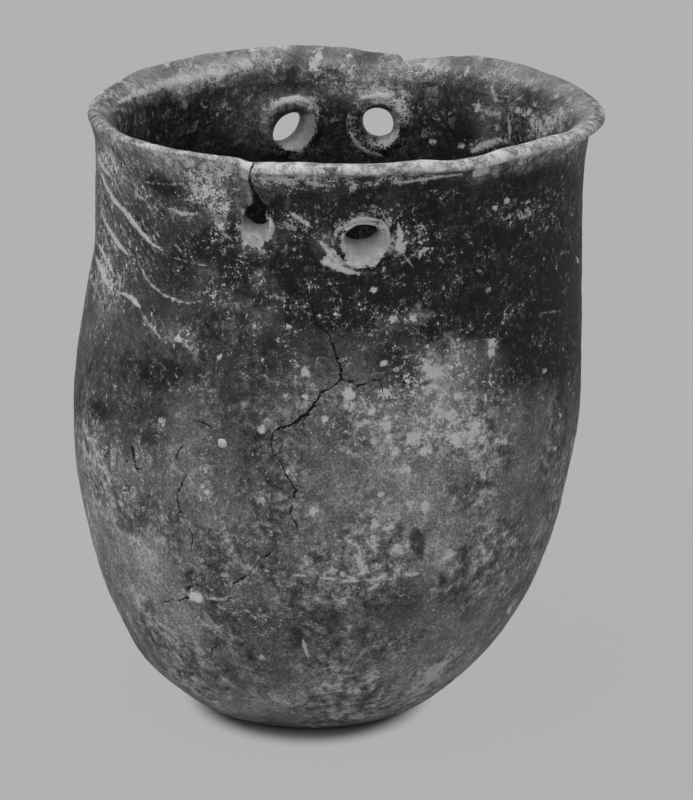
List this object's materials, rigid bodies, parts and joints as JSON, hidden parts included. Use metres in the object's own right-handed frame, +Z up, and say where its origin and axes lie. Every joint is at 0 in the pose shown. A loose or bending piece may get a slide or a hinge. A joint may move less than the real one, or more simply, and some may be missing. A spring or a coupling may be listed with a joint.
{
  "type": "pierced clay beaker",
  "caption": "Hand-built open clay beaker with a rounded base, a turned-out uneven lip and pierced cord holes below it, split at the front by an open crack.",
  "frame": {"origin": "the middle of the flat patch that the pot stands on", "axes": "+Z up, -Y towards the cracked front, +X to the right of the front"},
  "size_m": [0.131, 0.1266, 0.1545],
  "materials": {
    "clay": "burnished dark grey, crusted with pale lime",
    "lip_clay": "worn pale along its edge",
    "collar_clay": "smooth pale funnels with a ragged lime edge",
    "lime": "matt and chalky"
  },
  "bodies": {
    "root": {"base_pat": "clay", "wall_coil_1": "clay", "wall_coil_2": "clay", "wall_coil_3": "clay", "wall_coil_4": "clay", "pierced_coil": "clay", "rim_coil": "lip_clay", "front_left_collar": "collar_clay", "front_right_collar": "collar_clay", "back_left_collar": "collar_clay", "back_right_collar": "collar_clay", "lime_grits": "lime"}
  },
  "joints": []
}
